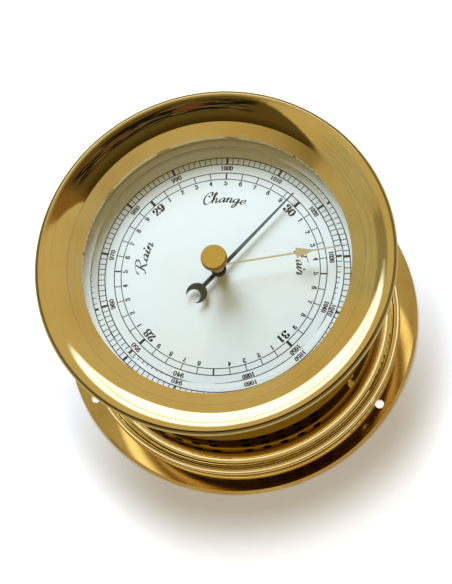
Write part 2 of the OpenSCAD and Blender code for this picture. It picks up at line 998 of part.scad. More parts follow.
module arbor_bridge() {
    color(brass)
        difference() {
            bar([-bridge_w / 2, -bridge_end, bridge_z], [bridge_w / 2, bridge_end, bridge_z + bridge_t]);
            bridge_pillar_places()
                rod(small_screw_d / 2 + fit, bridge_z - over, bridge_z + bridge_t + over);
            rod(foot_bush_r, bridge_z - over, bridge_z + bridge_t + over);
        }
}

module bridge_pillars() {
    color(brass)
        bridge_pillar_places() {
            difference() {
                rod(bridge_pillar_r, base_top_z, bridge_z);
                rod(small_screw_d / 2 + fit, bridge_z - bridge_bite - pilot, bridge_z + over);
            }
            rod(base_screw_d / 2, base_low_z, base_top_z + tiny);
        }
}

module bridge_screws() {
    color(steel)
        bridge_pillar_places()
            translate([0, 0, bridge_z + bridge_t])
                pan_screw(small_screw_d, bridge_t + bridge_bite, small_screw_d * pan_head, small_screw_d * pan_height);
}

// Aneroid capsule and its lever

// One half in section, its rim on z = 0: a shallow dish with half-round ridges and a solid boss
module capsule_section() {
    sheet_z = capsule_h / 2 - boss_rise - wave_h - capsule_t;
    dish_r = capsule_r - weld_w;
    pitch = (dish_r - boss_r) / waves;
    difference() {
        union() {
            translate([0, sheet_z])
                square([dish_r, capsule_t]);
            for (i = [0:waves - 1])
                translate([boss_r + (i + 0.5) * pitch, sheet_z])
                    circle(r = wave_h + capsule_t);
        }
        for (i = [0:waves - 1])
            translate([boss_r + (i + 0.5) * pitch, sheet_z])
                circle(r = wave_h);
        translate([0, sheet_z - 2 * wave_h])
            square([dish_r, 2 * wave_h]);
    }
    translate([0, sheet_z])
        square([boss_r, capsule_h / 2 - sheet_z]);
    translate([dish_r - capsule_t, 0])
        square([capsule_t, sheet_z + capsule_t]);
    translate([dish_r - capsule_t, 0])
        square([weld_w + capsule_t, capsule_t]);
}

module capsule_half() {
    rotate_extrude()
        capsule_section();
}

module capsule_upper_half() {
    color(copper)
        translate([0, 0, capsule_mid_z])
            capsule_half();
}

module capsule_lower_half() {
    color(copper)
        translate([0, 0, capsule_mid_z])
            mirror([0, 0, 1])
                capsule_half();
}

module capsule_foot() {
    color(brass) {
        rod(boss_r - foot_inset, base_top_z, capsule_z);
        rod(stud_r, base_low_z - stud_l, base_top_z + tiny);
    }
}

module capsule_nut() {
    color(brass)
        translate([0, 0, base_low_z - nut_h])
            difference() {
                cylinder(r = nut_flats_r, h = nut_h, $fn = 6);
                rod(stud_r + fit, -over, nut_h + over);
            }
}

module capsule_post() {
    color(brass)
        difference() {
            rod(post_r, capsule_top_z, post_top_z);
            translate([0, 0, leaf_top_z + pin_r])
                cross_rod(pin_r, -post_r - over, post_r + over);
        }
}

module post_pin() {
    color(steel)
        translate([0, 0, leaf_top_z + pin_r])
            cross_rod(pin_r, -post_r - post_pin_out, post_r + post_pin_out);
}

module spring_screw_places() {
    for (y = [-leaf_w / 4, leaf_w / 4])
        translate([bend_x - spring_screw_in, y, 0])
            children();
}

module leaf_side() {
    difference() {
        union() {
            translate([bend_x, base_top_z + bend_r])
                circle(r = bend_r);
            translate([-leaf_end, base_top_z + spring_h - leaf_t])
                square([leaf_end + bend_x, leaf_t]);
            translate([bend_x - foot_leaf, base_top_z])
                square([foot_leaf, leaf_t]);
        }
        translate([bend_x, base_top_z + bend_r])
            circle(r = bend_r - leaf_t);
        translate([bend_x - 2 * bend_r, base_top_z + leaf_t])
            square([2 * bend_r, spring_h - 2 * leaf_t]);
    }
}

module main_spring() {
    color(steel)
        difference() {
            translate([0, leaf_w / 2, 0])
                rotate([90, 0, 0])
                    linear_extrude(leaf_w)
                        leaf_side();
            rod(post_r + gap, leaf_top_z - leaf_t - over, leaf_top_z + over);
            spring_screw_places()
                rod(small_screw_d / 2 + fit, base_top_z - over, base_top_z + leaf_t + over);
            for (x = lever_screw_x)
                translate([x, 0, 0])
                    rod(lever_screw_d / 2 + fit, leaf_top_z - leaf_t - over, leaf_top_z + over);
        }
}

module spring_screws() {
    color(steel)
        spring_screw_places()
            translate([0, 0, base_low_z])
                rotate([180, 0, 0])
                    pan_screw(small_screw_d, base_t + leaf_t, small_screw_d * pan_head, small_screw_d * pan_height);
}

module main_lever() {
    color(steel)
        difference() {
            union() {
                bar([-link_x, -lever_w / 2, lever_z], [-lever_near, lever_w / 2, lever_z + lever_t]);
                translate([-link_x, 0, lever_mid_z])
                    cross_rod(eye_r, -lever_w / 2, lever_w / 2);
            }
            for (x = lever_screw_x)
                translate([x, 0, 0])
                    rod(lever_screw_d / 2 + fit, lever_z - over, lever_z + lever_t + over);
            translate([-link_x, 0, lever_mid_z])
                cross_rod(pin_r + fit, -lever_w, lever_w);
        }
}

module lever_screws() {
    color(steel)
        for (x = lever_screw_x)
            translate([x, 0, lever_z + lever_t])
                pan_screw(lever_screw_d, lever_t, lever_screw_d * pan_head, lever_screw_d * pan_height);
}

module lever_pin() {
    color(brass)
        translate([-link_x, 0, lever_mid_z])
            cross_rod(pin_r, -lever_w / 2, link_y + link_t + gap);
}

module link_rod() {
    low = rocker_axis_z;
    color(brass)
        difference() {
            union() {
                bar([-link_x - link_half_w, link_y, low], [-link_x + link_half_w, link_y + link_t, lever_mid_z]);
                translate([-link_x, 0, lever_mid_z])
                    cross_rod(eye_r, link_y, link_y + link_t);
                translate([-link_x, 0, low])
                    cross_rod(loose_eye_r, link_y, link_y + link_t);
            }
            translate([-link_x, 0, lever_mid_z])
                cross_rod(pin_r + fit, 0, lever_w * 2);
            translate([-link_x, 0, low])
                cross_rod(loose_r, 0, lever_w * 2);
        }
}

module rocker_bracket() {
    low = base_top_z;
    high = rocker_axis_z + bracket_rise;
    color(brass)
        difference() {
            union() {
                bar([rocker_x - bracket_w / 2, -bracket_y - bracket_t, low],
                    [rocker_x + bracket_w / 2, bracket_y + bracket_t, low + bracket_foot_t]);
                for (y = [-bracket_y - bracket_t, bracket_y])
                    bar([rocker_x - bracket_w / 2, y, low], [rocker_x + bracket_w / 2, y + bracket_t, high]);
            }
            translate([rocker_x, 0, rocker_axis_z])
                cross_rod(rocker_d / 2 + fit, -bracket_y - bracket_t - over, bracket_y + bracket_t + over);
        }
}

module rocking_shaft() {
    color(steel)
        translate([rocker_x, 0, rocker_axis_z])
            cross_rod(rocker_d / 2, -rocker_half, rocker_half);
}

// A flat arm between two eyes on cross rods, its bores included
module arm(length, y0, y1, end_hole_r) {
    difference() {
        union() {
            cross_rod(rocker_d, y0, y1);
            bar([-arm_half_w, y0, 0], [arm_half_w, y1, length]);
            translate([0, 0, length])
                cross_rod(eye_r, y0, y1);
        }
        cross_rod(rocker_d / 2 + fit, y0 - over, y1 + over);
        translate([0, 0, length])
            cross_rod(end_hole_r, y0 - over, y1 + over);
    }
}

module crank_arm() {
    y = link_y + link_t + gap;
    color(brass)
        translate([rocker_x, 0, rocker_axis_z])
            rotate([0, 90, 0])
                arm(crank_l, y, y + arm_t, pin_r + fit);
}

module crank_pin() {
    y = link_y + link_t + gap;
    color(steel)
        translate([-link_x, 0, rocker_axis_z])
            cross_rod(pin_r, link_y - gap, y + arm_t);
}

module chain_arm() {
    color(brass)
        translate([rocker_x, 0, rocker_axis_z])
            arm(chain_arm_l, -arm_t - gap, -gap, pin_r + fit);
}

module chain_hook_pin() {
    color(steel)
        translate([rocker_x, 0, chain_z])
            cross_rod(pin_r, -arm_t - gap, drum_r + 2 * chain_r + gap);
}

// The chain is a run of round links, seen here as one thin rod with an eye on the hook pin
module chain() {
    color(steel)
        difference() {
            union() {
                translate([rocker_x, drum_r, chain_z])
                    rotate([0, 90, 0])
                        cylinder(r = chain_r, h = -rocker_x - chain_end);
                translate([rocker_x, 0, chain_z])
                    cross_rod(eye_r, drum_r - chain_r, drum_r + chain_r);
            }
            translate([rocker_x, 0, chain_z])
                cross_rod(pin_r + fit, 0, drum_r * 2);
        }
}

module adjusting_screw() {
    color(steel)
        translate([adjuster_x, 0, 0])
            difference() {
                union() {
                    rod(adjuster_d / 2, adjuster_head_z, adjuster_tip_z);
                    rod(adjuster_head_r, adjuster_head_z, adjuster_head_z + adjuster_head_h);
                }
                bar([-adjuster_head_r - over, -adjuster_slot_w / 2, adjuster_head_z - over],
                    [adjuster_head_r + over, adjuster_slot_w / 2, adjuster_head_z + adjuster_slot_h]);
            }
}

base_plate();
base_screws();
foot_ring();
case_shell();
dial_seat_ring();
bezel();
bezel_screw_ring();
bezel_seal();
crystal();
crystal_gasket();
reflector_ring();
spindle_bush();
spindle_bush_nut();
set_knob();
set_spindle();
set_hand();
set_hand_collet();
spindle_end_screw();
pressure_hand();
hand_hub();
hand_collet();
pointer_arbor();
chain_drum();
hairspring_collet();
hairspring();
hairspring_stud();
centre_tube();
arbor_foot_bush();
dial();
dial_plate();
dial_screws();
movement_base();
pillars();
upper_pillar_screws();
lower_pillar_screws();
arbor_bridge();
bridge_pillars();
bridge_screws();
capsule_lower_half();
capsule_upper_half();
capsule_foot();
capsule_nut();
capsule_post();
post_pin();
main_spring();
spring_screws();
main_lever();
lever_screws();
lever_pin();
link_rod();
rocker_bracket();
rocking_shaft();
crank_arm();
chain_arm();
crank_pin();
chain_hook_pin();
chain();
adjusting_screw();
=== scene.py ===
"""Looks of the ship's barometer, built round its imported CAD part.

Metres, in the part's own frame: the origin is the centre of the back face, +Z comes out through
the dial and +Y points to its top. A bearing is an angle in degrees, clockwise from the top of the
dial, and a polar angle is measured in degrees from +Z.
"""

import math

import bpy
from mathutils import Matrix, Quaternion, Vector


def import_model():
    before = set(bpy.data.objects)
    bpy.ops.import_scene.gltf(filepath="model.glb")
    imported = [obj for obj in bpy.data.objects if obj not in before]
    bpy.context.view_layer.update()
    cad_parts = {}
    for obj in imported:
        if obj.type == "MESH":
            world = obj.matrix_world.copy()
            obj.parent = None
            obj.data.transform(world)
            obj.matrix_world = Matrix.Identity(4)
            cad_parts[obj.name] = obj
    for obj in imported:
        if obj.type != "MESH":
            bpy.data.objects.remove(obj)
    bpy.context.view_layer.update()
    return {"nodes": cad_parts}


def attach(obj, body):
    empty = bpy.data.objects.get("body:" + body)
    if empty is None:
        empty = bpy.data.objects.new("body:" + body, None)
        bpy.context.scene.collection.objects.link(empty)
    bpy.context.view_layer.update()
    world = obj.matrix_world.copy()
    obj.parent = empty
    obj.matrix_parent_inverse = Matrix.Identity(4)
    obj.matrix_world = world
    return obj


MM = 0.001

# Camera: the point it looks at, where it stands from there, and its turn about its own axis
CAMERA_TARGET = (0.00391, -0.01121, 0.0921)
CAMERA_POLAR = 21.0404
CAMERA_BEARING = 154.7975
CAMERA_DISTANCE = 1.2191
CAMERA_ROLL = -23.0329
CAMERA_LENS = 131.25
CAMERA_SENSOR = 36.0

# Lamp
LAMP_POLAR = 40.0
LAMP_BEARING = 341.0
LAMP_DISTANCE = 0.8
LAMP_SIZE = 0.49
LAMP_POWER = 7.9
LAMP_TINT = (0.67, 0.79, 0.97)

# Softbox that the metal mirrors, and a dim bar across it, each an oval on the lamp's bearing with its
# polar angle, half its size across and along, and its soft edge
SOFTBOX_OVAL = (36.4, 14.5, 11.1, 1.1)
BAR_OVAL = (31.0, 14.0, 1.2, 0.8)
OVAL_POWER = 3.0
SOFTBOX = (1.75, 1.95, 2.2)
SOFTBOX_BAR = (0.9, 0.97, 1.05)

# Room that the metal mirrors, by the x and z of a direction
ROOM_MIDDLE = (0.54, 0.425, 0.205)
ROOM_LEFT = (0.5, 0.38, 0.16)
ROOM_RIGHT = (0.47, 0.385, 0.22)
ROOM_BELOW = (0.5, 0.42, 0.25)
LEFT_X = (-0.75, 0.1)
RIGHT_X = (0.1, 0.8)
HORIZON_Z = (-0.02, 0.02)
BACKDROP_Z = (0.13, 0.22)

# Direction that the crest of the bezel's roll mirrors. The dark things overhead lie round it, by
# their distance from it and by their turn round it in radians, 0 at the dial's top and clockwise
CREST_X = -0.1556
CREST_Y = 0.3336

# Where each of them starts, is full, starts to fade and is gone
DARK_TURN = (-1.4, -1.3, 0.72, 0.78)
STREAK_TURN = (-1.12, -1.0, 0.15, 0.22)
STREAK_AWAY = (0.06, 0.11, 0.36, 0.44)
OLIVE_TURN = (0.6, 0.8, 1.75, 1.95)
OLIVE_AWAY = (0.05, 0.12, 0.7, 0.8)

# Turns between which an outline of the dark zone moves, and its distance at either
DARK_NEAR = (0.1, 0.75, 0.01, 0.6)
DARK_FAR = (-1.4, -0.95, 0.2, 1.0)
DARK_RIM = (0.78, 0.83)

# Colours overhead
DARK_BROWN = (0.095, 0.066, 0.017)
DARK_DEEP = (0.035, 0.02, 0.002)
DARK_AMBER = (0.26, 0.12, 0.03)
STREAK_BLACK = (0.008, 0.006, 0.003)
STREAK_PALE = (0.15, 0.12, 0.055)
STREAK_RED = (0.15, 0.065, 0.025)
OLIVE = (0.38, 0.34, 0.18)
OLIVE_PALE = (0.46, 0.4, 0.23)
OLIVE_DARK = (0.2, 0.17, 0.07)

# Floor. It glows by its distance from the axis: below the flange, then from the shadow outwards
FLOOR_HALF = 12.0
FLOOR_GLOW = (0.94, 1.0, 1.12)
GLOW_DIM = 0.18
GLOW_FULL = 0.8
GLOW_BELOW = (0.105, 0.109)
GLOW_OUTSIDE = (0.114, 0.155)

# Places where the finish of the bezel changes or shade is painted on it: radii from its axis and heights
CREASE_R = 85.1 * MM
CREASE_HALF = (0.15 * MM, 0.6 * MM)
ROLL_START_R = (84.9 * MM, 85.3 * MM)
RIM_R = (101.0 * MM, 101.8 * MM)
UNDERSIDE_R = (90.0 * MM, 90.5 * MM, 101.0 * MM, 102.0 * MM)
UNDERSIDE_Z = (107.0 * MM, 114.0 * MM)

# The same on the knob, where shade and highlights are painted, and on the pressure hand
KNOB_EDGE_R = (6.7 * MM, 7.1 * MM)
KNURL_R = (7.2 * MM, 7.45 * MM)
BLADE_R = (10.0 * MM, 20.0 * MM)
BLADE_SIDE = (-2.0 * MM, 2.0 * MM)

# Depths of surface marks
MARK_DEPTH = 0.05 * MM
BRUSH_DEPTH = 0.03 * MM
GRAIN_DEPTH = 0.02 * MM

# Linear colours of the metals
WHITE = (1.0, 1.0, 1.0)
BRASS = (0.93, 0.79, 0.43)
BRASS_DEEP = (0.9, 0.72, 0.35)
BRASS_FLANGE = (0.78, 0.62, 0.3)
BRASS_FLANGE_DEEP = (0.66, 0.48, 0.2)
# Painted shade: the case wall and the bezel's underside, far darker than the polished brass
CASE_PAINTED_SHADE = (0.33, 0.205, 0.062)
CASE_PAINTED_SHADE_DEEP = (0.29, 0.175, 0.052)
# Painted shade on the bezel's rim
RIM_PAINTED_SHADE = (0.2, 0.15, 0.05)
# Tint that dims the edge-on reflection where shade is painted
GRAZED_PAINTED_SHADE = (0.68, 0.54, 0.33)
BRASS_TURNED = (0.72, 0.5, 0.2)
BRASS_REFLECTOR = (0.95, 0.72, 0.32)
BRASS_MOVEMENT = (0.7, 0.47, 0.16)
# Tarnish in the lathe marks, and painted shade in the bezel's crease
TARNISH_AND_SHADE = (0.13, 0.07, 0.018)
KNOB = (0.56, 0.34, 0.05)
KNOB_DEEP = (0.48, 0.28, 0.04)
# Painted shade on the knob's edge, and painted highlights on its knurl's teeth
KNOB_EDGE_SHADE = (0.2, 0.11, 0.02)
KNURL_HIGHLIGHT = (0.7, 0.5, 0.16)
GILT = (0.64, 0.51, 0.26)
GILT_DEEP = (0.52, 0.4, 0.18)
BRONZE = (0.66, 0.42, 0.2)
STEEL = (0.55, 0.55, 0.54)

# Linear colours of the rest
ENAMEL = (0.82, 0.88, 0.87)
ENAMEL_WARM = (0.83, 0.86, 0.82)
ENAMEL_GRAIN = (0.4, 0.42, 0.4)
BLACK_PAINT = (0.012, 0.012, 0.013)
HAND_TAIL = (0.01, 0.016, 0.012)
HAND_BLADE = (0.085, 0.097, 0.095)
HAND_WORN = (0.14, 0.15, 0.145)
RUBBER_BLACK = (0.02, 0.02, 0.02)
RUBBER_GREY = (0.045, 0.045, 0.043)
GLASS_TINT = (0.97, 0.985, 0.98)
GLASS_CLEAR = (0.985, 0.995, 0.99)
INK = (0.012, 0.014, 0.013)
INK_THIN = (0.028, 0.03, 0.028)
PAPER = (0.88, 0.88, 0.88)
PAPER_GRAIN = (0.86, 0.86, 0.86)

# Print on the dial. Its radii, widths and heights are in millimetres
INK_LIFT = 0.03
CIRCLE_STEPS = 360
OVAL_STEP = 15
BLOB_STEPS = 12

# Pens: angle of the nib in degrees, how quickly a stroke swells, and round ends as a share of thick
DIGIT_NIB = 0.0
SCRIPT_NIB = 25.0
NIB_POWER = 1.5
DIGIT_END = 0.62
SCRIPT_DOT = 0.6

# Steps from one given point of a line to the next
STRAIGHT_STEPS = 3
DIGIT_STEPS = 4
SCRIPT_STEPS = 6

# Sizes of digits and letters. A digit fills most of its own box, and letters lean
DIGIT_WIDTH = 0.6
DIGIT_FILL = 0.92
SCRIPT_SLANT = 0.3
LARGE_TYPE = {"height": 4.7, "thin": 0.32, "thick": 1.35}
SMALL_TYPE = {"height": 2.8, "thin": 0.25, "thick": 0.75}
SCRIPT_TYPE = {"height": 2.8, "thin": 0.25, "thick": 1.05}

# Scale in inches of mercury, counted in tenths
INCH_FIRST = 275
INCH_TENTHS = 40
INCH_START = 180.0
INCH_STEP = 9.0
INCH_OUTER_R = 61.7
INCH_OUTER_LINE = 0.55
INCH_INNER_R = 57.74
INCH_INNER_LINE = 0.5
INCH_WHOLE_TICK = 1.6
INCH_HALF_TICK = 0.9
INCH_TENTH_TICK = 0.5
INCH_NUMBER_R = 51.9
INCH_NUMBER_W = 7.2
INCH_TENTH_R = 54.0
INCH_TENTH_W = 1.8

# Scale in hectopascals
HPA_FIRST = 934
HPA_TOP = 1000
HPA_LAST = 1066
HPA_STEP = 2.7
HPA_OUTER_R = 71.2
HPA_INNER_R = 67.2
HPA_LINE = 0.6
HPA_TEN_TICK = 1.4
HPA_TICK = 0.45
HPA_NUMBER_R = 63.3
HPA_SHORT_W = 6.2
HPA_LONG_W = 7.0

# Words: text, bearing of the middle, radius of the baseline, width
WORDS = (("Change", -0.5, 43.3, 24.5), ("Rain", 281.5, 43.4, 18.0), ("Fair", 82.0, 44.2, 13.5))


# Node helpers


class Graph:
    """Adds shader nodes to one tree and joins them. Most helpers give back the socket of their result."""

    def __init__(self, tree):
        self.tree = tree
        self.tree.nodes.clear()

    def node(self, kind, **settings):
        made = self.tree.nodes.new(kind)
        for name, value in settings.items():
            setattr(made, name, value)
        return made

    def set(self, socket, value):
        """Links a socket, or gives it a number, a vector or a colour."""
        if isinstance(value, bpy.types.NodeSocket):
            self.tree.links.new(value, socket)
        elif socket.type == "RGBA":
            socket.default_value = tuple(value) + (1.0,)
        else:
            socket.default_value = value

    def math(self, operation, *values, clamp=False):
        made = self.node("ShaderNodeMath", operation=operation, use_clamp=clamp)
        for socket, value in zip(made.inputs, values):
            self.set(socket, value)
        return made.outputs[0]

    def plus(self, a, b):
        return self.math("ADD", a, b)

    def minus(self, a, b):
        return self.math("SUBTRACT", a, b)

    def times(self, first, *others):
        for other in others:
            first = self.math("MULTIPLY", first, other)
        return first

    def length(self, a, b):
        return self.math("SQRT", self.plus(self.times(a, a), self.times(b, b)))

    def dot(self, a, b):
        made = self.node("ShaderNodeVectorMath", operation="DOT_PRODUCT")
        self.set(made.inputs[0], a)
        self.set(made.inputs[1], b)
        return made.outputs["Value"]

    def smooth(self, value, low, high, at_low=0.0, at_high=1.0):
        """A soft step from at_low to at_high while the value goes from low to high."""
        made = self.node("ShaderNodeMapRange", interpolation_type="SMOOTHSTEP")
        for socket, given in zip(made.inputs, (value, low, high, at_low, at_high)):
            self.set(socket, given)
        return made.outputs[0]

    def fade(self, value, low, high):
        """A soft step from 1 to 0."""
        return self.smooth(value, low, high, 1.0, 0.0)

    def between(self, value, bounds):
        """1 inside and 0 outside: the bounds are where it starts, is full, starts to fade and is gone."""
        start, full, fading, gone = bounds
        return self.times(self.smooth(value, start, full), self.fade(value, fading, gone))

    def mix(self, factor, a, b):
        """Colour a where the factor is 0, and b where it is 1."""
        made = self.node("ShaderNodeMix", data_type="RGBA")
        self.set(made.inputs["Factor"], factor)
        self.set(made.inputs[6], a)
        self.set(made.inputs[7], b)
        return made.outputs[2]

    def noise(self, vector, scale, detail):
        made = self.node("ShaderNodeTexNoise")
        self.set(made.inputs["Vector"], vector)
        self.set(made.inputs["Scale"], scale)
        self.set(made.inputs["Detail"], detail)
        return made.outputs["Fac"]

    def place(self):
        return self.node("ShaderNodeTexCoord").outputs["Object"]

    def split(self, vector):
        made = self.node("ShaderNodeSeparateXYZ")
        self.set(made.inputs[0], vector)
        return made.outputs

    def join(self, x, y, z):
        made = self.node("ShaderNodeCombineXYZ")
        for socket, value in zip(made.inputs, (x, y, z)):
            self.set(socket, value)
        return made.outputs[0]

    def radius(self, place):
        """Distance from the part's axis."""
        x, y, _ = self.split(place)
        return self.length(x, y)

    def bump(self, height, strength, distance):
        made = self.node("ShaderNodeBump")
        self.set(made.inputs["Strength"], strength)
        self.set(made.inputs["Distance"], distance)
        self.set(made.inputs["Height"], height)
        return made.outputs[0]

    def principled(self, **values):
        """The main shader, its inputs named with underscores for spaces."""
        made = self.node("ShaderNodeBsdfPrincipled")
        for name, value in values.items():
            self.set(made.inputs[name.replace("_", " ")], value)
        return made.outputs[0]

    def surface(self, shader):
        out = self.node("ShaderNodeOutputMaterial")
        self.set(out.inputs["Surface"], shader)

    def finish(self, **values):
        """Ends a material in the main shader."""
        self.surface(self.principled(**values))


def new_material(name):
    made = bpy.data.materials.new(name)
    made.use_nodes = True
    return made, Graph(made.node_tree)


def lathe_marks(graph, place, stretch, detail):
    """Broken marks round the axis: they change quickly outwards and upwards, and slowly round it."""
    x, y, z = graph.split(place)
    bearing = graph.math("ARCTAN2", x, y)
    outwards = graph.times(graph.radius(place), stretch)
    return graph.noise(graph.join(outwards, bearing, graph.times(z, stretch)), 1.0, detail)


def lathe_rings(graph, place, stretch):
    """Closed rings round the axis."""
    outwards = graph.times(graph.radius(place), stretch)
    return graph.noise(graph.join(outwards, 0.0, 0.0), 1.0, 2.0)


def uneven(graph, least, pattern, spread):
    """A value that grows with a pattern, for roughness."""
    return graph.plus(least, graph.times(pattern, spread))


def darker(tone, share):
    return tuple(share * value for value in tone)


def seen(graph):
    """1 for what the camera sees, straight or by way of metal and glass, and 0 for light on the object."""
    path = graph.node("ShaderNodeLightPath")
    looked_at = graph.plus(path.outputs["Is Camera Ray"], path.outputs["Is Glossy Ray"])
    return graph.math("ADD", looked_at, path.outputs["Is Transmission Ray"], clamp=True)


# Materials


def bezel_brass():
    """Polished brass: satin on the lip, bright on the roll, with painted shade in the crease, on the rim and
    below.
    """
    made, graph = new_material("bezel_brass")
    place = graph.place()
    radius = graph.radius(place)
    on_roll = graph.smooth(radius, *ROLL_START_R)
    off_crease = graph.smooth(graph.math("ABSOLUTE", graph.minus(radius, CREASE_R)), *CREASE_HALF)
    rim = graph.smooth(radius, *RIM_R)
    height = graph.split(place)[2]
    # Painted shade below the roll, where the bezel overhangs the case
    underside_shade = graph.times(graph.fade(height, *UNDERSIDE_Z), graph.between(radius, UNDERSIDE_R))
    # The rim and the underside carry painted shade: their edge-on reflection is dimmed and their coat left
    # off.
    shaded = graph.math("MAXIMUM", rim, underside_shade)
    cloud = graph.noise(place, 38.0, 4.0)
    marks = lathe_marks(graph, place, 900.0, 4.0)
    tint = graph.mix(graph.smooth(cloud, 0.35, 0.7), BRASS, BRASS_DEEP)
    tint = graph.mix(graph.smooth(marks, 0.55, 0.8, 0.0, 0.12), tint, TARNISH_AND_SHADE)
    # Painted shade: the crease is darkened with the tarnish colour.
    tint = graph.mix(graph.smooth(off_crease, 0.0, 1.0, 0.12, 0.0), tint, TARNISH_AND_SHADE)
    # Painted shade: the rim is darkened.
    tint = graph.mix(graph.times(rim, 0.85), tint, RIM_PAINTED_SHADE)
    # Painted shade below the roll, in the case's dark colour.
    tint = graph.mix(underside_shade, tint, CASE_PAINTED_SHADE)
    graph.finish(
        Base_Color=tint,
        Metallic=1.0,
        Roughness=uneven(graph, graph.smooth(on_roll, 0.0, 1.0, 0.16, 0.025), cloud, 0.015),
        Specular_Tint=graph.mix(shaded, WHITE, GRAZED_PAINTED_SHADE),
        Normal=graph.bump(marks, 0.03, MARK_DEPTH),
        Coat_Weight=graph.smooth(shaded, 0.0, 1.0, 0.2, 0.0),
        Coat_Roughness=0.05,
    )
    return made


def mirror_brass(name, tone, deep, grazed=WHITE, coat=0.2):
    """Polished brass with faint marks and clouding. grazed tints it where it is seen edge on."""
    made, graph = new_material(name)
    place = graph.place()
    cloud = graph.noise(place, 30.0, 4.0)
    marks = lathe_marks(graph, place, 700.0, 5.0)
    tint = graph.mix(graph.smooth(cloud, 0.35, 0.75), tone, deep)
    tint = graph.mix(graph.smooth(marks, 0.55, 0.8, 0.0, 0.15), tint, TARNISH_AND_SHADE)
    graph.finish(
        Base_Color=tint,
        Metallic=1.0,
        Roughness=uneven(graph, 0.06, cloud, 0.04),
        Specular_Tint=grazed,
        Normal=graph.bump(marks, 0.06, MARK_DEPTH),
        Coat_Weight=coat,
        Coat_Roughness=0.05,
    )
    return made


def turned_brass(name, tone, roughness):
    """Brass left as it comes from the lathe: fine rings and a satin face."""
    made, graph = new_material(name)
    place = graph.place()
    rings = lathe_rings(graph, place, 4200.0)
    cloud = graph.noise(place, 160.0, 3.0)
    graph.finish(
        Base_Color=graph.mix(graph.smooth(rings, 0.3, 0.7), tone, darker(tone, 0.8)),
        Metallic=1.0,
        Roughness=uneven(graph, roughness, cloud, 0.08),
        Normal=graph.bump(rings, 0.1, MARK_DEPTH),
    )
    return made


def knob_brass():
    """Satin lacquered brass, deep yellow: rings on top, painted shade on the edge, painted highlights on the
    knurl.
    """
    made, graph = new_material("knob_brass")
    place = graph.place()
    radius = graph.radius(place)
    rings = lathe_rings(graph, place, 5200.0)
    tint = graph.mix(graph.smooth(rings, 0.3, 0.7), KNOB, KNOB_DEEP)
    # Painted shade round the knob's edge
    tint = graph.mix(graph.smooth(radius, *KNOB_EDGE_R, 0.0, 0.6), tint, KNOB_EDGE_SHADE)
    # Painted highlights on the knurl's teeth
    tint = graph.mix(graph.smooth(radius, *KNURL_R, 0.0, 0.6), tint, KNURL_HIGHLIGHT)
    relief = graph.bump(rings, 0.08, MARK_DEPTH)
    graph.finish(Base_Color=tint, Metallic=0.3, Roughness=0.5, Normal=relief)
    return made


def gilt():
    """Pale gilding of the set hand, brushed along its length."""
    made, graph = new_material("gilt")
    x, y, _ = graph.split(graph.place())
    brushed = graph.noise(graph.join(graph.times(x, 300.0), graph.times(y, 3000.0), 0.0), 1.0, 3.0)
    tint = graph.mix(graph.smooth(brushed, 0.35, 0.7), GILT, GILT_DEEP)
    relief = graph.bump(brushed, 0.08, BRUSH_DEPTH)
    graph.finish(Base_Color=tint, Metallic=0.25, Roughness=0.45, Normal=relief)
    return made


def worked_metal(name, tone, roughness):
    """Brass, steel or bronze of the movement, with fine scratches."""
    made, graph = new_material(name)
    place = graph.place()
    scratches = graph.noise(place, 900.0, 4.0)
    cloud = graph.noise(place, 90.0, 3.0)
    graph.finish(
        Base_Color=graph.mix(graph.smooth(cloud, 0.3, 0.8, 0.0, 0.6), tone, darker(tone, 0.6)),
        Metallic=1.0,
        Roughness=uneven(graph, roughness, scratches, 0.12),
        Normal=graph.bump(scratches, 0.08, MARK_DEPTH),
    )
    return made


def dial_enamel():
    """White dial with a fine grain and a slight yellowing."""
    made, graph = new_material("dial_enamel")
    place = graph.place()
    grain = graph.noise(place, 2600.0, 2.0)
    cloud = graph.noise(place, 24.0, 3.0)
    tint = graph.mix(graph.smooth(cloud, 0.3, 0.75), ENAMEL, ENAMEL_WARM)
    tint = graph.mix(graph.smooth(grain, 0.5, 0.75, 0.0, 0.06), tint, ENAMEL_GRAIN)
    graph.finish(Base_Color=tint, Roughness=0.5, Normal=graph.bump(grain, 0.05, GRAIN_DEPTH))
    return made


def dark_paint(name, tone, roughness):
    """Dark paint, a little paler where it is worn."""
    made, graph = new_material(name)
    wear = graph.noise(graph.place(), 420.0, 4.0)
    pale = tuple(2.2 * value + 0.01 for value in tone)
    graph.finish(
        Base_Color=graph.mix(graph.smooth(wear, 0.5, 0.85, 0.0, 0.5), tone, pale),
        Roughness=uneven(graph, roughness, wear, 0.1),
        Normal=graph.bump(wear, 0.05, BRUSH_DEPTH),
    )
    return made


def hand_paint():
    """Blued and greyed metal: paler along the blade, green-black on the crescent of the tail."""
    made, graph = new_material("hand_paint")
    place = graph.place()
    x, y, _ = graph.split(place)
    ahead = graph.smooth(graph.plus(x, y), *BLADE_SIDE)
    blade = graph.times(graph.smooth(graph.radius(place), *BLADE_R), ahead)
    wear = graph.noise(place, 500.0, 4.0)
    tint = graph.mix(blade, HAND_TAIL, HAND_BLADE)
    tint = graph.mix(graph.smooth(wear, 0.5, 0.9, 0.0, 0.3), tint, HAND_WORN)
    graph.finish(Base_Color=tint, Roughness=0.6, Normal=graph.bump(wear, 0.04, BRUSH_DEPTH))
    return made


def rubber():
    """Black rubber with a coarse grain."""
    made, graph = new_material("rubber")
    grain = graph.noise(graph.place(), 1500.0, 3.0)
    tint = graph.mix(grain, RUBBER_BLACK, RUBBER_GREY)
    graph.finish(Base_Color=tint, Roughness=0.75, Normal=graph.bump(grain, 0.2, MARK_DEPTH))
    return made


